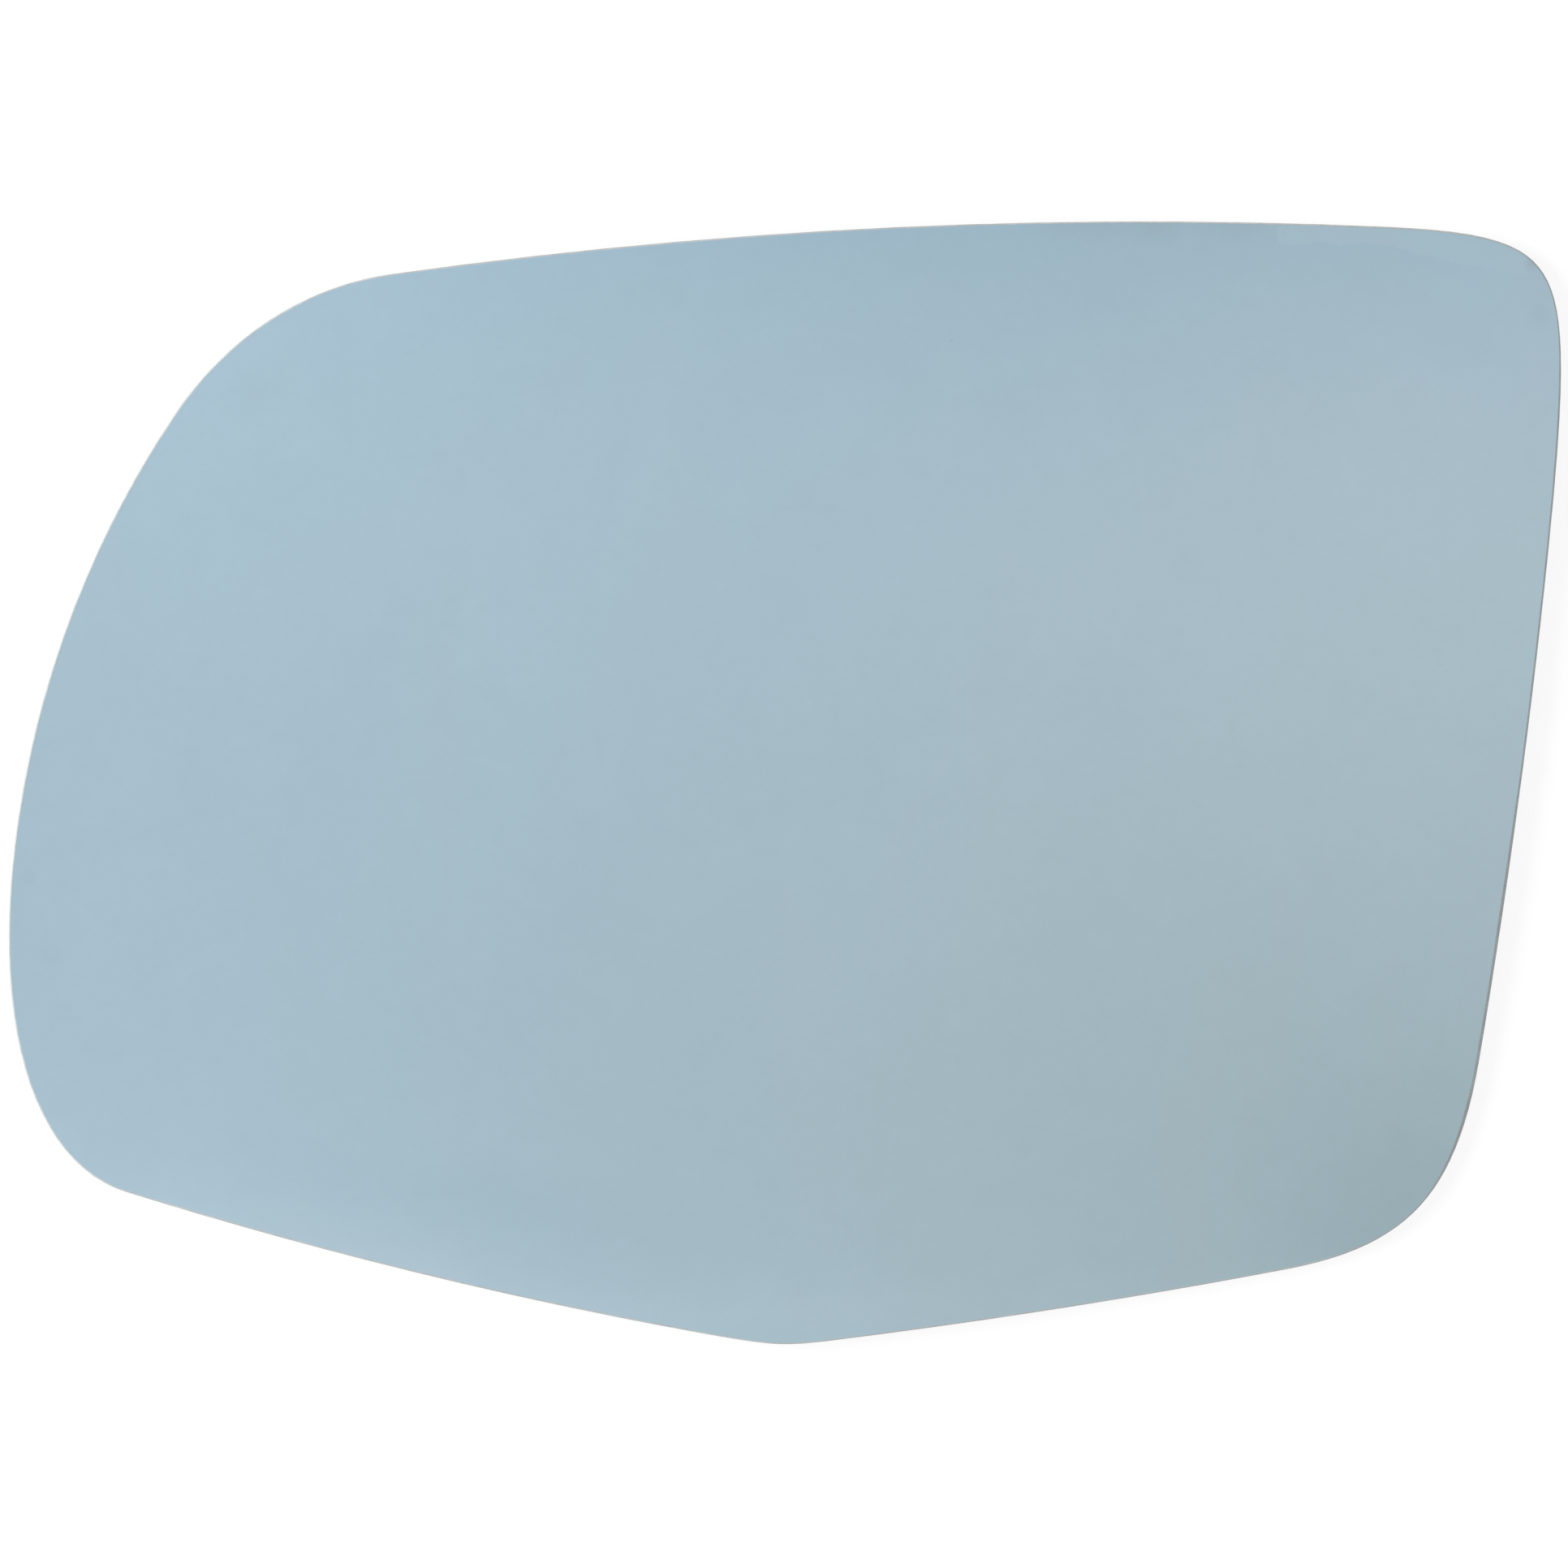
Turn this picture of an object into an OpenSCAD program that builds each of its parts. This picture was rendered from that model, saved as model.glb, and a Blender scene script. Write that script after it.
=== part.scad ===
// Glass of a left-hand outside door mirror: one sheet, bent to a sphere and silvered, with both rims seamed.
// Millimetres. The glass lies on its rim with the reflecting face up. +X points from the rounded outer end to the
// door side, +Y to the edge that is uppermost on the car, and +Z out of the reflecting face.
// The outline is five crowned sides. Their theoretical corners are blended by conic curves.

/* [Sheet] */
// Thickness of the glass
glass_t = 2; // [1.5:0.1:4]
// Radius of curvature of the reflecting face
face_r = 1400; // [800:10:3000]
// Width of the small flat ground on the front rim and on the back rim
seam_w = 0.4; // [0.2:0.05:0.7]

/* [Corner positions] */
// Level distance from the lowest corner to the low corner at the door side
low_door_run = 77.4; // [60:0.1:95]
// Rise from the lowest corner to the low corner at the door side
low_door_rise = 12.7; // [6:0.1:20]
// Height of the door side between its corners
door_h = 115.8; // [95:0.1:135]
// Lean of the door side away from the outer end, over its height
door_lean = 14.7; // [4:0.1:24]
// Level length of the top side between its corners
top_run = 151; // [130:0.1:170]
// Fall of the top side from the door side to the outer end
top_fall = 6.3; // [0:0.1:14]
// Height of the outer side between its corners
outer_h = 100.6; // [88:0.1:110]
// Lean of the outer side away from the door, over its height
outer_lean = 28.4; // [18:0.1:38]

/* [Crowns of the sides] */
// Bulge of the door side at its middle
door_crown = 1.8; // [0.4:0.1:4]
// Bulge of the top side at its middle
top_crown = 4.5; // [1:0.1:9]
// Bulge of the outer side at its middle
outer_crown = 12.7; // [6:0.1:17]
// Bulge of the low side that runs in from the outer end
low_outer_crown = 1.8; // [0.4:0.1:4]
// Bulge of the low side that runs on to the door
low_door_crown = 0.9; // [0.4:0.1:3]

/* [Corner blends] */
// Low corner at the door: length of the low side that the blend takes
door_low_in = 19; // [12:1:26]
// Low corner at the door: length of the door side that the blend takes
door_low_out = 21; // [12:1:28]
// Low corner at the door: fullness of the blend (0.41 is nearly round, more is sharper)
door_low_full = 0.56; // [0.35:0.01:0.7]
// Top corner at the door: length of the door side that the blend takes
door_top_in = 36; // [18:1:42]
// Top corner at the door: length of the top side that the blend takes
door_top_out = 21; // [14:1:30]
// Top corner at the door: fullness of the blend
door_top_full = 0.7; // [0.4:0.01:0.75]
// Top corner at the outer end: length of the top side that the blend takes
outer_top_in = 14; // [8:1:24]
// Top corner at the outer end: length of the outer side that the blend takes
outer_top_out = 18; // [10:1:28]
// Top corner at the outer end: fullness of the blend
outer_top_full = 0.48; // [0.35:0.01:0.65]
// Low corner at the outer end: length of the outer side that the blend takes
outer_low_in = 40; // [18:1:46]
// Low corner at the outer end: length of the low side that the blend takes
outer_low_out = 12; // [9:1:20]
// Low corner at the outer end: fullness of the blend
outer_low_full = 0.46; // [0.35:0.01:0.65]
// Lowest corner: length of the side from the outer end that the blend takes
lowest_in = 10; // [5:1:16]
// Lowest corner: length of the side to the door that the blend takes
lowest_out = 6; // [4:1:14]
// Lowest corner: fullness of the blend
lowest_full = 0.69; // [0.35:0.01:0.75]

/* [Hidden] */

// Stations along each corner blend and along each side
corner_steps = 24;
side_steps = 14;
// Facets round a full circle of the two spheres
sphere_fn = 256;
// How far the ground flats are carried on past the faces, so that the spheres cut them cleanly
spill = 0.6;
// Rounds of the search for the three points on which the glass rests
rest_rounds = 6;

back_r = face_r - glass_t;
wall_top_r = face_r - seam_w;
wall_low_r = back_r + seam_w;

// The five corners in order, counter-clockwise, from the low corner at the door
lowest = [0, 0];
door_low = lowest + [low_door_run, low_door_rise];
door_top = door_low + [door_lean, door_h];
outer_top = door_top - [top_run, top_fall];
outer_low = outer_top - [outer_lean, outer_h];
corners = [door_low, door_top, outer_top, outer_low, lowest];
corner_count = len(corners);
// The crown of the side that leaves each corner, and the three sizes of each corner's blend
crowns = [door_crown, top_crown, outer_crown, low_outer_crown, low_door_crown];
blend_in = [door_low_in, door_top_in, outer_top_in, outer_low_in, lowest_in];
blend_out = [door_low_out, door_top_out, outer_top_out, outer_low_out, lowest_out];
blend_full = [door_low_full, door_top_full, outer_top_full, outer_low_full, lowest_full];

function unit(v) = v / norm(v);
function following(i) = (i + 1) % corner_count;
function preceding(i) = (i + corner_count - 1) % corner_count;

// Radius, centre and length of the arc that is the side leaving corner i
function side_chord(i) = corners[following(i)] - corners[i];
function side_r(i) =
    let (half = norm(side_chord(i)) / 2)
    (half * half + crowns[i] * crowns[i]) / (2 * crowns[i]);
function side_centre(i) =
    let (d = unit(side_chord(i)))
    (corners[i] + corners[following(i)]) / 2 + [-d.y, d.x] * (side_r(i) - crowns[i]);
function side_length(i) =
    2 * asin(norm(side_chord(i)) / 2 / side_r(i)) * PI / 180 * side_r(i);

// Outward direction, point and heading at a distance s along side i
function side_out(i, s) =
    let (from = corners[i] - side_centre(i))
    let (a = atan2(from.y, from.x) + s / side_r(i) * 180 / PI)
    [cos(a), sin(a)];
function side_point(i, s) = side_centre(i) + side_r(i) * side_out(i, s);
function side_heading(i, s) =
    let (out = side_out(i, s))
    [-out.y, out.x];

// Where the blend of corner i starts and ends, and where the two headings there meet
function blend_start(i) = side_length(preceding(i)) - blend_in[i];
function blend_from(i) = side_point(preceding(i), blend_start(i));
function blend_to(i) = side_point(i, blend_out[i]);
function blend_peak(i) =
    let (p = blend_from(i), q = blend_to(i))
    let (dp = side_heading(preceding(i), blend_start(i)), dq = side_heading(i, blend_out[i]))
    p + dp * cross(q - p, dq) / cross(dp, dq);

// A station of the outline is [point, outward direction]. The two helper points lie on the curve's tangent.
function blend_station(i, t) =
    let (w = blend_full[i] / (1 - blend_full[i]), peak = blend_peak(i))
    let (a = ((1 - t) * blend_from(i) + t * w * peak) / (1 - t + t * w))
    let (b = ((1 - t) * w * peak + t * blend_to(i)) / ((1 - t) * w + t))
    let (wa = (1 - t) * (1 - t + t * w), wb = t * ((1 - t) * w + t), d = unit(b - a))
    [(wa * a + wb * b) / (wa + wb), [d.y, -d.x]];
function side_station(i, s) = [side_point(i, s), side_out(i, s)];
function blend_stations(i) = [for (k = [0:corner_steps - 1]) blend_station(i, k / corner_steps)];
function side_stations(i) =
    let (first = blend_out[i], last = blend_start(following(i)))
    [for (k = [0:side_steps - 1]) side_station(i, first + (last - first) * k / side_steps)];

// The whole outline, moved so that the middle of its box is the origin
raw_outline = [for (i = [0:corner_count - 1]) each concat(blend_stations(i), side_stations(i))];
raw_x = [for (s = raw_outline) s[0].x];
raw_y = [for (s = raw_outline) s[0].y];
box_middle = [min(raw_x) + max(raw_x), min(raw_y) + max(raw_y)] / 2;
outline = [for (s = raw_outline) [s[0] - box_middle, s[1]]];
station_count = len(outline);

// The back rim in plan. The glass rests on it at the two door corners and the low outer corner, which all lie at
// one distance from the axis of the bend, so the axis is found by trying the circle through their farthest points.
function back_rim(s) = s[0] - s[1] * seam_w;
function corner_rim(i) = [for (s = blend_stations(i)) back_rim([s[0] - box_middle, s[1]])];
function farthest(points, centre) =
    let (d = [for (p = points) norm(p - centre)])
    points[search(max(d), d)[0]];
function circle_centre(a, b, c) =
    let (u = b - a, v = c - a, uu = u * u, vv = v * v)
    a + [v.y * uu - u.y * vv, u.x * vv - v.x * uu] / (2 * cross(u, v));
function settle(centre, rounds) =
    rounds < 1 ? centre : settle(rest_on(centre), rounds - 1);
function rest_on(centre) =
    let (p = [for (c = rest_corners) farthest(c, centre)])
    circle_centre(p[0], p[1], p[2]);
rest_corners = [for (c = [door_low, door_top, outer_low]) corner_rim(search([c], corners)[0])];
axis = settle([0, 0], rest_rounds);

// Centre of both spheres, at the depth that puts the lowest point of the back rim on z = 0
rim_reach = max([for (s = outline) norm(back_rim(s) - axis)]);
sphere_z = -sqrt(back_r * back_r - rim_reach * rim_reach);
sphere_centre = [axis.x, axis.y, sphere_z];
crown_z = sphere_z + face_r;

// Direction out of the sheet at a station of the wall, and the way in across the sheet from there
function sheet_out(s) =
    let (v = s[0] - axis)
    [v.x, v.y, sqrt(wall_top_r * wall_top_r - v * v)] / wall_top_r;
function sheet_in(s) =
    let (d = sheet_out(s), n = [-s[1].x, -s[1].y, 0])
    unit(n - (n * d) * d);
function wall_point(s, r) = sphere_centre + sheet_out(s) * r;
// Where the ground flat ends past a face: side 1 is the front rim, side -1 the back rim
function flat_end(s, r, side) = wall_point(s, r) + (side * sheet_out(s) + sheet_in(s)) * (seam_w + spill);

// The bent sheet before it is cut: the shell between two spheres
module bent_sheet() {
    translate(sphere_centre)
        rotate([90, 0, 0])
            difference() {
                sphere(r = face_r, $fn = sphere_fn);
                sphere(r = back_r, $fn = sphere_fn);
            }
}

// What the cutting and grinding leave: the wall square to the sheet, both ground flats, and a tip above and below
// that lies well clear of the faces
module seamed_blank() {
    n = station_count;
    points = concat(
        [for (s = outline) flat_end(s, wall_low_r, -1)],
        [for (s = outline) wall_point(s, wall_low_r)],
        [for (s = outline) wall_point(s, wall_top_r)],
        [for (s = outline) flat_end(s, wall_top_r, 1)],
        [
            [axis.x, axis.y, -crown_z],
            [axis.x, axis.y, 2 * crown_z]
        ]
    );
    faces = concat(
        [for (ring = [0:2], k = [0:n - 1])
            let (a = ring * n + k, b = ring * n + (k + 1) % n)
            each [[a, a + n, b + n], [a, b + n, b]]],
        [for (k = [0:n - 1]) [4 * n, k, (k + 1) % n]],
        [for (k = [0:n - 1]) [4 * n + 1, 3 * n + (k + 1) % n, 3 * n + k]]
    );
    polyhedron(points = points, faces = faces);
}

module mirror_glass() {
    color("lightsteelblue")
        intersection() {
            bent_sheet();
            seamed_blank();
        }
}

mirror_glass();
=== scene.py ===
# Looks of the door mirror glass: the bent sheet with its silvered face, seamed rim and lacquered back.
# Metres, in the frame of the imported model: the glass lies on the floor with its reflecting face up.

import math

import bmesh
import bpy
import numpy as np
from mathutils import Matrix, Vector, noise


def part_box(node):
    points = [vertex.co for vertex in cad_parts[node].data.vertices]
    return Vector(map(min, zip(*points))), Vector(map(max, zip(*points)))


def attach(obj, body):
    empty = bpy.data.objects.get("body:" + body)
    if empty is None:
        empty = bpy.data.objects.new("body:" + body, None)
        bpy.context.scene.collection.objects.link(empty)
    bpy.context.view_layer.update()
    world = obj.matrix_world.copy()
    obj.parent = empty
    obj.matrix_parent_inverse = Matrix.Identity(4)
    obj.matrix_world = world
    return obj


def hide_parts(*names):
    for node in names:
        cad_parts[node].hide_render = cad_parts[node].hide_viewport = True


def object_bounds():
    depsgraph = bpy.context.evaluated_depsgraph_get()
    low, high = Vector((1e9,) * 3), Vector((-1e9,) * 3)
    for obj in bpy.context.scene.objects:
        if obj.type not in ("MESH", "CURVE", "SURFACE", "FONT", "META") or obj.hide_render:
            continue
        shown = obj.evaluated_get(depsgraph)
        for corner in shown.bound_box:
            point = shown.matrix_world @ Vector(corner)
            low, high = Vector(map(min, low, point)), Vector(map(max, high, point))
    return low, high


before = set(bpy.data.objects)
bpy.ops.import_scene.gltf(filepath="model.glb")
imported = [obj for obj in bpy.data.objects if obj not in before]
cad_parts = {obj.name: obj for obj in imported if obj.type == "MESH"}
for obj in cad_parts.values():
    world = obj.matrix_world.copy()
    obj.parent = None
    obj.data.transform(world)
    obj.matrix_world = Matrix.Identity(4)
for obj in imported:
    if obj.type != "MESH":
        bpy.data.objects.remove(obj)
cad_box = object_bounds()

MM = 0.001

# The sheet, with the radius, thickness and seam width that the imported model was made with
FACE_RADIUS = 1400 * MM
GLASS_THICK = 2 * MM
BACK_RADIUS = FACE_RADIUS - GLASS_THICK
SEAM_WIDTH = 0.4 * MM

# The mesh: a plain band inside the rim, then square cells over the rest of the face, whose corners are joined
# where they are nearer to each other than a sliver
BAND_WIDTH = 1.6 * MM
CELL = 4 * MM
SLIVER = 0.3 * MM

# How near two points count as one, and how near to a sphere a point counts as lying on it
TOUCHING = 0.001 * MM
ON_SPHERE = 0.002 * MM

# Part of a facet's normal that is upright or along the radius of the bend: under the first on the wall, under
# the second on a ground flat, and over the third on the face and on the back
WALL_BELOW, FLAT_BELOW, FACE_ABOVE = 0.3, 0.9, 0.95

# How much the surface turns, at least, at an edge of the rim before and after the seams are ground
SQUARE_TURN = math.radians(60)
SEAMED_TURN = math.radians(30)

# The front seam has its full width where the rim faces one way, low on the door side. It keeps a share of
# that width higher up on the same side, and is narrow round the rest.
NARROW_SEAM = 0.17 * MM
WIDE_HEADING = Vector((math.cos(math.radians(345)), math.sin(math.radians(345)), 0))
FADE_ANGLE = math.radians(30)
UPPER_SHARE = 0.32
UPPER_STARTS, UPPER_FULL = -16 * MM, 8 * MM

# A hand-held seam wanders in width, by a share of it, and the belt leaves its four arrises a little round
SEAM_WANDER = 0.18
WANDER_LENGTH = 5 * MM
ARRIS_WIDTH = 0.05 * MM
ARRIS_STEPS = 2

# Which material a face of the mesh takes
SILVER, GROUND, LACQUER = range(3)

# Camera: straight above the glass, far enough off for nearly parallel lines of sight. The photo's width is
# what it takes in on the floor, and the middle of the outline lies on one of its pixels.
PHOTO_PIXELS = 1932
PHOTO_WIDTH = 182.03 * MM
OBJECT_MIDDLE_PIXEL = (967.2, 964.7)
CAMERA_HEIGHT = 2.0
CAMERA_REACH = 20
SENSOR_WIDTH = 36

FLOOR_SIZE = 6.0


# Mesh of the glass

def merged_copy(node):
    """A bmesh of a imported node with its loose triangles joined."""
    mesh = bmesh.new()
    mesh.from_mesh(node.data)
    bmesh.ops.remove_doubles(mesh, verts=mesh.verts, dist=TOUCHING)
    mesh.normal_update()
    return mesh


def sphere_through(points):
    """Centre of the sphere that passes nearest to the points."""
    points = np.array(points, float)
    rows = np.column_stack([2 * points, np.ones(len(points))])
    answer = np.linalg.lstsq(rows, (points ** 2).sum(axis=1), rcond=None)[0]
    return Vector(answer[:3])


def is_wall(face):
    """True for a face of the wall, which stands nearly upright."""
    return abs(face.normal.z) < WALL_BELOW


def is_front_flat(face):
    """True for a face of the flat that is ground on the front rim."""
    return WALL_BELOW < face.normal.z < FLAT_BELOW


def is_widest(edge):
    """True for an edge between the wall and the front flat, where the sheet is widest."""
    sides = edge.link_faces
    return any(is_wall(f) for f in sides) and any(is_front_flat(f) for f in sides)


def at_radius(point, centre, radius):
    """The point moved along its own radius of the bend."""
    return centre + (point - centre).normalized() * radius


def cut_into_cells(mesh, inner):
    """Cuts the inner face into square cells, along planes that stand across X and across Y."""
    low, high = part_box("mirror_glass")
    piece = [inner, *inner.edges, *inner.verts]
    for axis in (Vector((1, 0, 0)), Vector((0, 1, 0))):
        span = (high - low).dot(axis)
        count = round(span / CELL)
        for i in range(1, count):
            place = low + (high - low) * (i / count)
            cut = bmesh.ops.bisect_plane(
                mesh, geom=piece, dist=TOUCHING, plane_co=place, plane_no=axis,
            )
            piece = cut["geom"]
    corners = [v for v in piece if isinstance(v, bmesh.types.BMVert)]
    bmesh.ops.remove_doubles(mesh, verts=corners, dist=SLIVER)


def turned_edges(mesh, angle):
    """The edges at which the surface turns by more than an angle."""
    return [e for e in mesh.edges if len(e.link_faces) == 2 and e.calc_face_angle() > angle]


def smooth(part):
    """A smooth rise from 0 to 1 as the part goes from 0 to 1."""
    part = min(max(part, 0), 1)
    return part * part * (3 - 2 * part)


def front_seam_width(place, inward):
    """Width of the front seam at a place of the rim, from which a direction leads inward."""
    facing = smooth(1 - WIDE_HEADING.angle(-inward) / FADE_ANGLE)
    height = smooth((place.y - UPPER_STARTS) / (UPPER_FULL - UPPER_STARTS))
    share = 1 - height * (1 - UPPER_SHARE)
    return NARROW_SEAM + (SEAM_WIDTH - NARROW_SEAM) * facing * share


def edges_down_a_flat(vert):
    """The edges of a vertex that run down a ground flat."""
    return [
        e for e in vert.link_edges
        if all(WALL_BELOW < abs(f.normal.z) < FLAT_BELOW for f in e.link_faces)
    ]


def set_seam_width(mesh, centre):
    """Gives both ground flats their width, by moving their edges on the face, the back and the wall."""
    for vert in mesh.verts:
        radius = (vert.co - centre).length
        on_face = abs(radius - FACE_RADIUS) < ON_SPHERE
        on_back = abs(radius - BACK_RADIUS) < ON_SPHERE
        down = edges_down_a_flat(vert)
        if not (on_face or on_back) or not down:
            continue
        wall_end = down[0].other_vert(vert)
        inward = (vert.co - at_radius(wall_end.co, centre, radius)).normalized()
        width = SEAM_WIDTH
        if on_face:
            width = front_seam_width(vert.co, inward)
            wall_end.co = at_radius(wall_end.co, centre, FACE_RADIUS - width)
        width *= 1 + noise.noise(vert.co / WANDER_LENGTH) * SEAM_WANDER
        rim = at_radius(wall_end.co, centre, radius)
        vert.co = at_radius(rim + inward * width, centre, radius)


def surface_normal(vert, centre):
    """The true normal at a vertex: along the radius on the face and the back, and on the rim the mean of the
    facets round it, in which large ones count most."""
    out = vert.co - centre
    if abs(out.length - FACE_RADIUS) < ON_SPHERE:
        return out.normalized()
    if abs(out.length - BACK_RADIUS) < ON_SPHERE:
        return -out.normalized()
    mean = Vector()
    for face in vert.link_faces:
        mean += face.normal * face.calc_area() ** 2
    return mean.normalized()


def finish_of(face, centre):
    """The material of a face, from how far it leans from the bend's own radius."""
    along = face.normal.dot((face.calc_center_median() - centre).normalized())
    if along > FACE_ABOVE:
        return SILVER
    if along < -FACE_ABOVE:
        return LACQUER
    return GROUND


def keep_widest_outline(mesh):
    """Deletes all but the loop of edges along which the sheet is widest."""
    others = [e for e in mesh.edges if not is_widest(e)]
    bmesh.ops.delete(mesh, geom=mesh.faces[:], context="FACES_ONLY")
    bmesh.ops.delete(mesh, geom=others, context="EDGES")
    loose = [v for v in mesh.verts if not v.link_edges]
    bmesh.ops.delete(mesh, geom=loose, context="VERTS")


def fill_outline(mesh, centre):
    """Carries the outline out to the face, lays it level, and fills it with one band and its cells."""
    middle = sum(v.co.z for v in mesh.verts) / len(mesh.verts)
    for vert in mesh.verts:
        vert.co = at_radius(vert.co, centre, FACE_RADIUS)
    for vert in mesh.verts:
        vert.co.z = middle
    sheet = bmesh.ops.contextual_create(mesh, geom=mesh.edges[:])["faces"][0]
    if sheet.normal.z < 0:
        sheet.normal_flip()
    bmesh.ops.inset_region(
        mesh, faces=[sheet], thickness=BAND_WIDTH, use_boundary=True, use_even_offset=True,
    )
    cut_into_cells(mesh, sheet)


def bend_and_thicken(mesh, centre):
    """Bends the level sheet to the face's sphere and makes it solid, with its back on the other sphere."""
    for vert in mesh.verts:
        flat = Vector((vert.co.x - centre.x, vert.co.y - centre.y))
        vert.co.z = centre.z + math.sqrt(FACE_RADIUS ** 2 - flat.length_squared)
    mesh.normal_update()
    bmesh.ops.solidify(mesh, geom=mesh.faces[:], thickness=GLASS_THICK)
    bmesh.ops.recalc_face_normals(mesh, faces=mesh.faces[:])
    for vert in mesh.verts:
        nearer_face = (vert.co - centre).length > FACE_RADIUS - GLASS_THICK / 2
        vert.co = at_radius(vert.co, centre, FACE_RADIUS if nearer_face else BACK_RADIUS)
    mesh.normal_update()


def grind_rims(mesh, centre):
    """Seams both rims and gives them their small round arrises."""
    bmesh.ops.bevel(
        mesh, geom=turned_edges(mesh, SQUARE_TURN), offset=SEAM_WIDTH, offset_type="OFFSET",
        segments=1, profile=0.5, affect="EDGES", clamp_overlap=False, material=-1,
    )
    mesh.normal_update()
    set_seam_width(mesh, centre)
    mesh.normal_update()
    bmesh.ops.bevel(
        mesh, geom=turned_edges(mesh, SEAMED_TURN), offset=ARRIS_WIDTH, offset_type="OFFSET",
        segments=ARRIS_STEPS, profile=0.5, affect="EDGES", clamp_overlap=True, material=-1,
    )
    mesh.normal_update()


def bent_glass(node):
    """The whole glass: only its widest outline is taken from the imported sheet, and the rest is worked out."""
    mesh = merged_copy(node)
    front = [v.co for f in mesh.faces if f.normal.z > FACE_ABOVE for v in f.verts]
    centre = sphere_through(front)
    keep_widest_outline(mesh)
    fill_outline(mesh, centre)
    bend_and_thicken(mesh, centre)
    grind_rims(mesh, centre)
    for face in mesh.faces:
        face.smooth = True
        face.material_index = finish_of(face, centre)
    normals = [surface_normal(v, centre) for v in mesh.verts]

    data = bpy.data.meshes.new("bent_mirror_glass")
    mesh.to_mesh(data)
    mesh.free()
    data.normals_split_custom_set_from_vertices(normals)
    piece = bpy.data.objects.new("bent_mirror_glass", data)
    bpy.context.scene.collection.objects.link(piece)
    return piece, centre


# Shader maths

class Wire:
    """An output of a node. Sums and products of it add Math nodes to the same tree."""

    def __init__(self, tree, output):
        self.tree = tree
        self.output = output

    def node(self, kind, settings, inputs, output=0):
        """Adds a node of a kind: its settings first, then the value or the link of each socket."""
        made = self.tree.nodes.new(kind)
        for name, value in settings.items():
            setattr(made, name, value)
        for name, value in inputs.items():
            if isinstance(value, Wire):
                self.tree.links.new(value.output, made.inputs[name])
            else:
                made.inputs[name].default_value = value
        return Wire(self.tree, made.outputs[output])

    def other(self, output):
        """Another output of the same node."""
        return Wire(self.tree, self.output.node.outputs[output])

    def math(self, operation, *values):
        """A Math node of these values."""
        return self.node("ShaderNodeMath", {"operation": operation}, dict(enumerate(values)))

    def vector(self, operation, *values, output=0):
        """A Vector Math node of these values."""
        inputs = dict(enumerate(values))
        return self.node("ShaderNodeVectorMath", {"operation": operation}, inputs, output)

    def scale(self, colour):
        """A colour, times this."""
        inputs = {0: colour, "Scale": self}
        return self.node("ShaderNodeVectorMath", {"operation": "SCALE"}, inputs)

    def __add__(self, value):
        return self.math("ADD", self, value)

    __radd__ = __add__

    def __sub__(self, value):
        return self.math("SUBTRACT", self, value)

    def __rsub__(self, value):
        return self.math("SUBTRACT", value, self)

    def __mul__(self, value):
        return self.math("MULTIPLY", self, value)

    __rmul__ = __mul__

    def __truediv__(self, value):
        return self.math("DIVIDE", self, value)

    def exp(self):
        """The number e to the power of this."""
        return self.math("EXPONENT", self)

    def step(self, start, end):
        """0 before start and 1 after end, with a smooth rise between them."""
        return self.node(
            "ShaderNodeMapRange", {"interpolation_type": "SMOOTHSTEP"},
            {"Value": self, "From Min": start, "From Max": end},
        )

    def mix(self, first, second):
        """A colour from first to second as this goes from 0 to 1. A Mix node has its colours on inputs 6
        and 7, and gives the mixed one on output 2."""
        inputs = {0: self, 6: opaque(first), 7: opaque(second)}
        return self.node("ShaderNodeMix", {"data_type": "RGBA"}, inputs, 2)

    def noise(self, scale, detail=2.0, roughness=0.5):
        """Soft noise from 0 to 1, at so many swells to the metre, along this vector."""
        inputs = {"Vector": self, "Scale": scale, "Detail": detail, "Roughness": roughness}
        return self.node("ShaderNodeTexNoise", {}, inputs)


def opaque(colour):
    """A colour with its fourth value, or a wire as it is."""
    return colour if isinstance(colour, Wire) else (*colour, 1.0)


def new_material(name, **values):
    """A material with one Principled shader. The values are the same all over the surface."""
    material = bpy.data.materials.new(name)
    material.use_nodes = True
    tree = material.node_tree
    shader = tree.nodes["Principled BSDF"]
    for socket, value in values.items():
        shader.inputs[socket.replace("_", " ")].default_value = value
    place = Wire(tree, tree.nodes.new("ShaderNodeTexCoord").outputs["Object"])
    return material, shader, place


def feed(shader, socket, wire):
    """Links a wire to a socket of the shader."""
    wire.tree.links.new(wire.output, shader.inputs[socket])


def bump(height, distance, strength):
    """A normal from a height that runs from 0 to 1 over a distance."""
    inputs = {"Strength": strength, "Distance": distance, "Height": height}
    return height.node("ShaderNodeBump", {}, inputs)


# Materials

# Colour of the silver behind its hard clear layer, and how far its clouds and its fine mottles change it.
# Here and below, the scale of a pattern is in swells to the metre, and its rise is the range of the noise
# over which it comes in.
SILVER_COLOUR = (0.365, 0.482, 0.551)
CLOUDS, CLOUD_SCALE = 0.015, 30
MOTTLES, MOTTLE_SCALE = 0.042, 120

# Roughness of the clean face, and what streaks from wiping and specks of dust add to it
CLEAN_ROUGHNESS = 0.015
STREAK_ROUGHNESS, STREAK_SCALE, STREAK_RISE = 0.02, (60, 14, 1), (0.45, 0.75)
SPECK_ROUGHNESS, SPECK_SCALE, SPECK_RISE = 0.015, 900, (0.62, 0.8)

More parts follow.
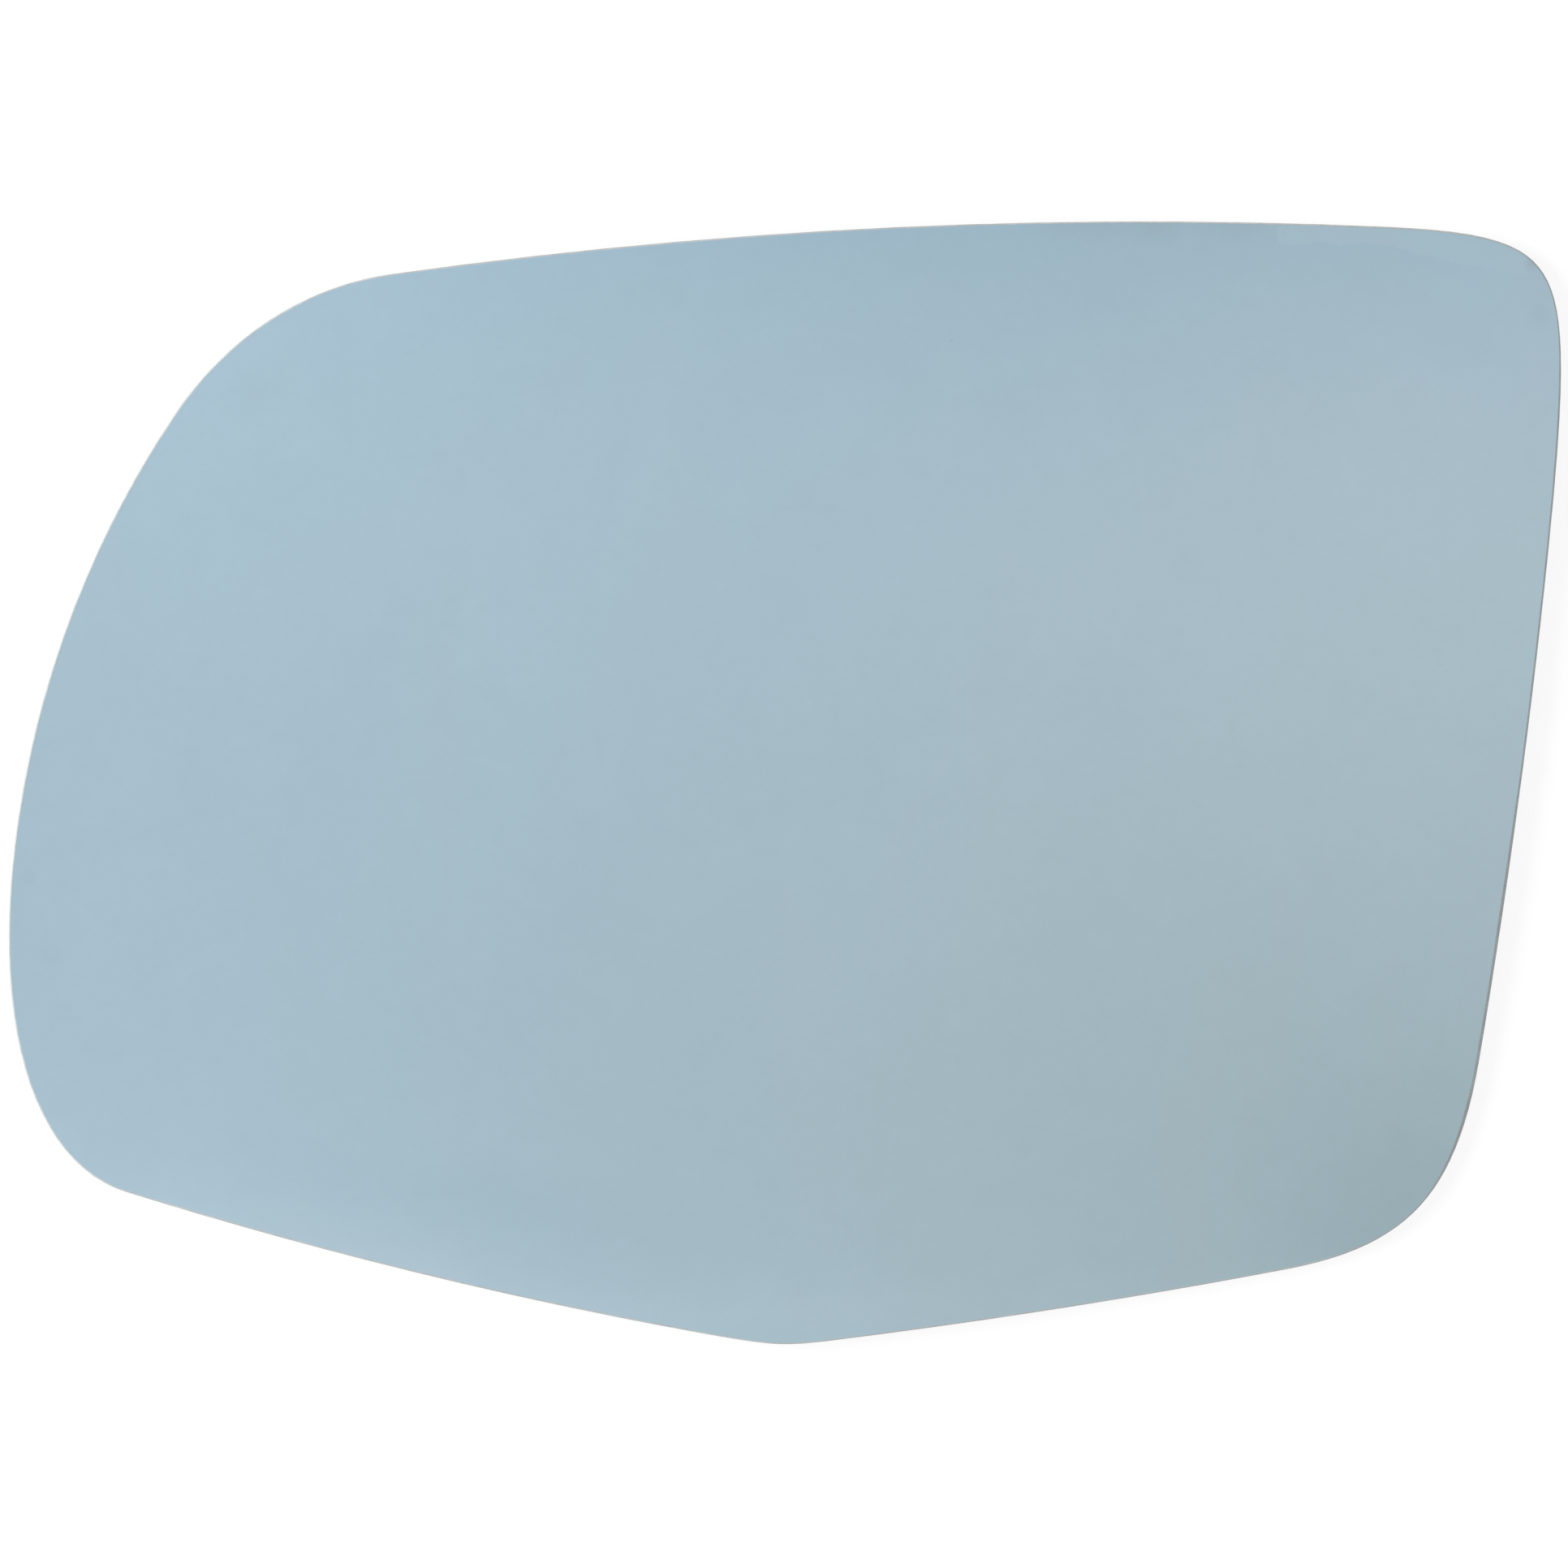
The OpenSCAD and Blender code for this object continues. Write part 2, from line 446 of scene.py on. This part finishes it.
# Marks on the silver: place in X and Y, half width and half height in millimetres, how much of it is even
# before it fades, how hollow it is, how strongly it shows, and its colour
DUST = (0.05, 0.06, 0.07)
GREASE = (0.24, 0.20, 0.17)
MARKS = {
    "dried_drop": (-87.7, -11.0, 0.9, 0.9, 0.6, 0.0, 0.036, DUST),
    "dried_ring": (-85.0, -19.9, 1.3, 1.3, 0.6, 0.6, 0.022, DUST),
    "speck": (19.3, 51.2, 0.2, 0.2, 0.6, 0.0, 0.090, DUST),
    "corner_spot": (86.6, 60.1, 1.0, 1.1, 0.1, 0.0, 0.10, DUST),
    "corner_smudge": (87.5, 54.2, 1.7, 1.8, 0.1, 0.0, 0.045, DUST),
    "finger_smudge": (43.1, 65.4, 3.6, 3.6, 0.0, 0.0, 0.13, GREASE),
    "rim_smudge": (52.4, 65.2, 6.0, 2.6, 0.1, 0.0, 0.10, GREASE),
    "long_smudge": (36.5, 65.1, 11.0, 2.9, 0.0, 0.0, 0.065, GREASE),
    "outer_smudge": (-61.0, 45.7, 4.5, 3.0, 0.0, 0.0, 0.03, GREASE),
}
# As shares of a mark's half size: where the border of a hollow mark is full, and where every mark has faded
RING_FULL = 0.7
MARK_END = 1.2

# Wiped film along the top rim by the door corner: where it starts and ends in X, and its low border, which is
# level at first, then falls, and is ragged. Each is soft over a distance, and the film thins towards its end.
FILM_COLOUR = (1.0, 1.0, 1.0)
FILM_STRENGTH = 0.035
FILM_START, FILM_END = 57.1 * MM, 88 * MM
FILM_BORDER, FILM_BEND, FILM_FALL = 62.6 * MM, 67 * MM, 0.2
FILM_RAGGED, FILM_RAGGED_SCALE = 0.8 * MM, 260
SOFT_START, SOFT_END, SOFT_BORDER = 0.2 * MM, 3 * MM, 0.25 * MM
FILM_THINS = 0.6


def mark(place, x, y, half_width, half_height, even, hollow, strength):
    """How strongly a mark shows at a place of the face."""
    from_middle = place.vector("SUBTRACT", place, (x * MM, y * MM, 0))
    scaled = place.vector("MULTIPLY", from_middle, (1 / (half_width * MM), 1 / (half_height * MM), 0))
    away = place.vector("LENGTH", scaled, output=1)
    border = away.step(0, RING_FULL) * hollow + (1 - hollow)
    return (1 - away.step(even, MARK_END)) * border * strength


def wiped_film(place):
    """How strongly the wiped film shows at a place of the face."""
    parts = place.node("ShaderNodeSeparateXYZ", {}, {0: place})
    x, y = parts, parts.other(1)
    past_bend = x.math("MAXIMUM", x - FILM_BEND, 0)
    border = FILM_BORDER - past_bend * FILM_FALL
    ragged = place.noise(FILM_RAGGED_SCALE, detail=3) * (2 * FILM_RAGGED) - FILM_RAGGED
    above = (y - border + ragged).step(-SOFT_BORDER, SOFT_BORDER)
    started = x.step(FILM_START - SOFT_START, FILM_START + SOFT_START)
    not_ended = 1 - x.step(FILM_END - SOFT_END, FILM_END)
    thinned = 1 - x.step(FILM_BEND, FILM_END) * FILM_THINS
    return above * started * not_ended * thinned * FILM_STRENGTH


def silvered_material():
    """Bluish silver under a hard clear layer: clouds, fine mottles, marks, and a breath of wiping haze."""
    material, shader, place = new_material(
        "silvered_face", Metallic=1.0, Coat_Weight=1.0, Coat_Roughness=0.0, Coat_IOR=1.5,
    )
    clouds = place.noise(CLOUD_SCALE, detail=3) * (2 * CLOUDS) - CLOUDS
    mottles = place.noise(MOTTLE_SCALE, detail=4, roughness=1.0) * (2 * MOTTLES) - MOTTLES
    tint = (clouds + mottles + 1).scale(SILVER_COLOUR)
    tint = wiped_film(place).mix(tint, FILM_COLOUR)
    for *shape, colour in MARKS.values():
        tint = mark(place, *shape).mix(tint, colour)
    feed(shader, "Base Color", tint)
    streaks = place.vector("MULTIPLY", place, STREAK_SCALE).noise(1, detail=5).step(*STREAK_RISE)
    specks = place.noise(SPECK_SCALE, detail=1).step(*SPECK_RISE)
    haze = streaks * STREAK_ROUGHNESS + specks * SPECK_ROUGHNESS
    feed(shader, "Roughness", haze + CLEAN_ROUGHNESS)
    return material


# Ground glass: a neutral grey that darkens where the belt bit deeper, and the share of its patches, its belt
# lines and its chips in that. The lines have a width across the rim and a scale along it.
GROUND_PALE = (0.61, 0.635, 0.635)
GROUND_DEEP = (0.46, 0.48, 0.48)
PATCH_SHARE, PATCH_SCALE, PATCH_RISE = 0.4, 800, (0.3, 0.7)
LINE_SHARE, LINE_SCALE, LINE_RISE = 0.5, 250, (0.33, 0.67)
LINE_WIDTH = 0.11 * MM
CHIP_SHARE, CHIP_SCALE, CHIP_RISE = 0.25, 2200, (0.60, 0.72)
CHIP_DEPTH = 0.6
GROUND_RELIEF, GROUND_BUMP = 0.03 * MM, 0.8
GROUND_ROUGHNESS, GROUND_UNEVEN = 0.5, 0.25


def ground_material(centre):
    """Ground glass of the rim: fine belt lines that run along it, small chips and an uneven grey."""
    material, shader, place = new_material("ground_rim", IOR=1.5, Specular_IOR_Level=0.25)
    from_centre = place.vector("SUBTRACT", place, centre)
    depth = place.vector("LENGTH", from_centre, output=1) - BACK_RADIUS
    parts = place.node("ShaderNodeSeparateXYZ", {}, {0: place})
    along = place.node(
        "ShaderNodeCombineXYZ", {},
        {0: parts * LINE_SCALE, 1: parts.other(1) * LINE_SCALE, 2: depth / LINE_WIDTH},
    )
    lines = along.noise(1, detail=3, roughness=0.6)
    patches = place.noise(PATCH_SCALE, detail=3).step(*PATCH_RISE)
    chips = place.noise(CHIP_SCALE, detail=2).step(*CHIP_RISE)
    shade = patches * PATCH_SHARE + lines.step(*LINE_RISE) * LINE_SHARE + chips * CHIP_SHARE
    feed(shader, "Base Color", shade.mix(GROUND_PALE, GROUND_DEEP))
    feed(shader, "Roughness", lines * GROUND_UNEVEN + GROUND_ROUGHNESS)
    feed(shader, "Normal", bump(lines - chips * CHIP_DEPTH, GROUND_RELIEF, GROUND_BUMP))
    return material


# Lacquer of the back: clean and under dust, with the orange peel of its spray
LACQUER_GREY = (0.060, 0.064, 0.070)
LACQUER_DUSTY = (0.108, 0.111, 0.114)
BACK_DUST_SCALE, BACK_DUST_RISE = 90, (0.4, 0.75)
PEEL_SCALE, PEEL_RELIEF, PEEL_BUMP = 700, 0.02 * MM, 0.5
LACQUER_ROUGHNESS, LACQUER_UNEVEN = 0.3, 0.25


def lacquer_material():
    """The protective lacquer of the back: dark grey, half matt, with a low orange peel and a little dust."""
    material, shader, place = new_material("back_lacquer", IOR=1.5)
    peel = place.noise(PEEL_SCALE, detail=2)
    dust = place.noise(BACK_DUST_SCALE, detail=6, roughness=0.65)
    feed(shader, "Base Color", dust.step(*BACK_DUST_RISE).mix(LACQUER_GREY, LACQUER_DUSTY))
    feed(shader, "Roughness", dust * LACQUER_UNEVEN + LACQUER_ROUGHNESS)
    feed(shader, "Normal", bump(peel, PEEL_RELIEF, PEEL_BUMP))
    return material


# Studio

# Colours of the studio as the glass shows it, by the sine of the height: white low down, then a dimmer wall
# with tall soft panels standing round it, and a warm pale ceiling. The edges of the panels are values of the
# sine of their count times the heading.
WHITE = (1.0, 1.0, 1.0)
DIM_WALL = (0.50, 0.53, 0.57)
PANEL = (0.93, 0.94, 0.96)
CEILING = (0.825, 0.80, 0.75)
DIM_STARTS, DIM_FULL = 0.02, 0.30
CEILING_STARTS, CEILING_FULL = 0.45, 0.92
PANEL_COUNT = 8
PANEL_EDGES = (-0.7, 0.7)

# Soft lights and cards on the ceiling: centre and half width as the tangent of the angle from straight up,
# turn in degrees, and what each adds to red, green and blue
OVERHEAD = {
    "broad_cool_light": ((-0.185, 0.50), (0.26, 0.69), 0, (0.352, 0.447, 0.576)),
    "low_left_strip": ((-0.20, -0.26), (0.50, 0.097), -12.3, (1.125, 1.174, 1.339)),
    "dark_card_above": ((0.054, 0.177), (0.18, 0.079), 0, (-0.353, -0.213, -0.112)),
    "small_dark_card": ((0.143, -0.133), (0.03, 0.048), 0, (-0.085, -0.063, -0.060)),
    "right_light": ((0.232, 0.048), (0.205, 0.141), 0, (0.212, 0.195, 0.219)),
    "low_left_card": ((-0.060, -0.118), (0.040, 0.008), -11, (-0.041, -0.033, -0.032)),
    "right_card": ((0.092, -0.061), (0.034, 0.043), 16, (-0.017, -0.014, -0.019)),
    "upper_right_card": ((0.169, 0.087), (0.025, 0.087), 29, (-0.026, -0.008, 0.006)),
    "low_rim_light": ((-0.254, -0.151), (0.586, 0.006), 2, (0.036, 0.025, 0.022)),
    "low_left_rim_light": ((-0.090, -0.130), (0.040, 0.006), -14, (0.042, 0.014, 0.004)),
    "outer_card": ((-0.464, -0.086), (0.297, 0.038), 13, (-0.034, -0.053, -0.069)),
}
# The least sine of the height that those tangents are worked out with
LEAST_HEIGHT = 0.05

# Plain light for matt surfaces: an even part from all round, and a broad key with its angles in degrees
AMBIENT = 0.45
KEY_STRENGTH = 2.6
KEY_SPREAD = 30
KEY_ELEVATION = 36
KEY_AZIMUTH = 176

# Grey of the floor in the light, and the share and strength of the white that the camera and the glass see
FLOOR_COLOUR = 0.95
FLOOR_GLOW = 0.85
GLOW_STRENGTH = 1.04


def soft_patch(lean_x, lean_y, centre, size, turn):
    """Brightness from 1 at the centre of a light to 0 well outside it."""
    cos, sin = math.cos(math.radians(turn)), math.sin(math.radians(turn))
    x, y = lean_x - centre[0], lean_y - centre[1]
    along = (x * cos + y * sin) / size[0]
    across = (y * cos - x * sin) / size[1]
    return ((along * along + across * across) * -1).exp()


def make_world():
    """White for the camera, a soft studio for the glass, and a plain even light for matt surfaces."""
    world = bpy.data.worlds.new("studio")
    world.use_nodes = True
    bpy.context.scene.world = world
    tree = world.node_tree
    background = tree.nodes["Background"]
    world.cycles.sampling_method = "NONE"
    towards = Wire(tree, tree.nodes.new("ShaderNodeTexCoord").outputs["Generated"])
    parts = towards.node("ShaderNodeSeparateXYZ", {}, {0: towards})
    height = parts.other(2)
    safe_height = height.math("MAXIMUM", height, LEAST_HEIGHT)
    lean_x, lean_y = parts / safe_height, parts.other(1) / safe_height
    azimuth = parts.math("ARCTAN2", parts.other(1), parts)
    panels = azimuth.math("SINE", azimuth * PANEL_COUNT).step(*PANEL_EDGES)
    wall = height.step(DIM_STARTS, DIM_FULL).mix(WHITE, panels.mix(DIM_WALL, PANEL))
    studio = height.step(CEILING_STARTS, CEILING_FULL).mix(wall, CEILING)
    for centre, size, turn, colour in OVERHEAD.values():
        light = soft_patch(lean_x, lean_y, centre, size, turn)
        studio = studio.vector("ADD", studio, light.scale(colour))
    ray = Wire(tree, tree.nodes.new("ShaderNodeLightPath").outputs["Is Camera Ray"])
    mirrored = ray.other("Is Glossy Ray") + ray.other("Is Transmission Ray")
    colour = mirrored.mix([AMBIENT] * 3, studio)
    colour = ray.mix(colour, WHITE)
    tree.links.new(colour.output, background.inputs["Color"])


def make_key():
    """A broad soft light from the outer end of the glass, which the glass itself doesn't show."""
    lamp = bpy.data.lights.new("key", "SUN")
    lamp.energy = KEY_STRENGTH
    lamp.angle = math.radians(KEY_SPREAD)
    key = bpy.data.objects.new("key", lamp)
    azimuth, elevation = math.radians(KEY_AZIMUTH), math.radians(KEY_ELEVATION)
    source = Vector((
        math.cos(azimuth) * math.cos(elevation),
        math.sin(azimuth) * math.cos(elevation),
        math.sin(elevation),
    ))
    key.rotation_euler = source.to_track_quat("Z", "Y").to_euler()
    key.visible_glossy = False
    bpy.context.scene.collection.objects.link(key)


def make_floor():
    """A plain white floor that keeps a faint shadow."""
    mesh = bmesh.new()
    bmesh.ops.create_grid(mesh, x_segments=1, y_segments=1, size=FLOOR_SIZE / 2)
    data = bpy.data.meshes.new("floor")
    mesh.to_mesh(data)
    mesh.free()
    floor = bpy.data.objects.new("floor", data)
    bpy.context.scene.collection.objects.link(floor)
    material = bpy.data.materials.new("floor_white")
    material.use_nodes = True
    tree = material.node_tree
    tree.nodes.remove(tree.nodes["Principled BSDF"])
    ray = Wire(tree, tree.nodes.new("ShaderNodeLightPath").outputs["Is Camera Ray"])
    seen = ray + ray.other("Is Glossy Ray") + ray.other("Is Transmission Ray")
    matt = ray.node("ShaderNodeBsdfDiffuse", {}, {"Color": opaque([FLOOR_COLOUR] * 3)})
    glow = ray.node("ShaderNodeEmission", {}, {"Color": opaque(WHITE), "Strength": GLOW_STRENGTH})
    blend = ray.node("ShaderNodeMixShader", {}, {0: seen * FLOOR_GLOW, 1: matt, 2: glow})
    tree.links.new(blend.output, tree.nodes["Material Output"].inputs["Surface"])
    data.materials.append(material)


def make_camera(box):
    """Straight down on the glass, with the middle of its outline on the photo's own pixel."""
    low, high = box
    camera = bpy.data.objects.new("camera", bpy.data.cameras.new("camera"))
    pixel = PHOTO_WIDTH / PHOTO_PIXELS
    middle = PHOTO_PIXELS / 2
    camera.location = (
        (low.x + high.x) / 2 - (OBJECT_MIDDLE_PIXEL[0] - middle) * pixel,
        (low.y + high.y) / 2 + (OBJECT_MIDDLE_PIXEL[1] - middle) * pixel,
        CAMERA_HEIGHT,
    )
    camera.data.sensor_width = SENSOR_WIDTH
    camera.data.lens = SENSOR_WIDTH * CAMERA_HEIGHT / PHOTO_WIDTH
    camera.data.clip_end = CAMERA_REACH
    bpy.context.scene.collection.objects.link(camera)
    bpy.context.scene.camera = camera


glass, bend_centre = bent_glass(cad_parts["mirror_glass"])
glass.data.materials.append(silvered_material())
glass.data.materials.append(ground_material(bend_centre))
glass.data.materials.append(lacquer_material())
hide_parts("mirror_glass")
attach(glass, "root")

make_world()
make_key()
make_floor()
make_camera(cad_box)
bpy.context.scene.view_settings.view_transform = "Standard"
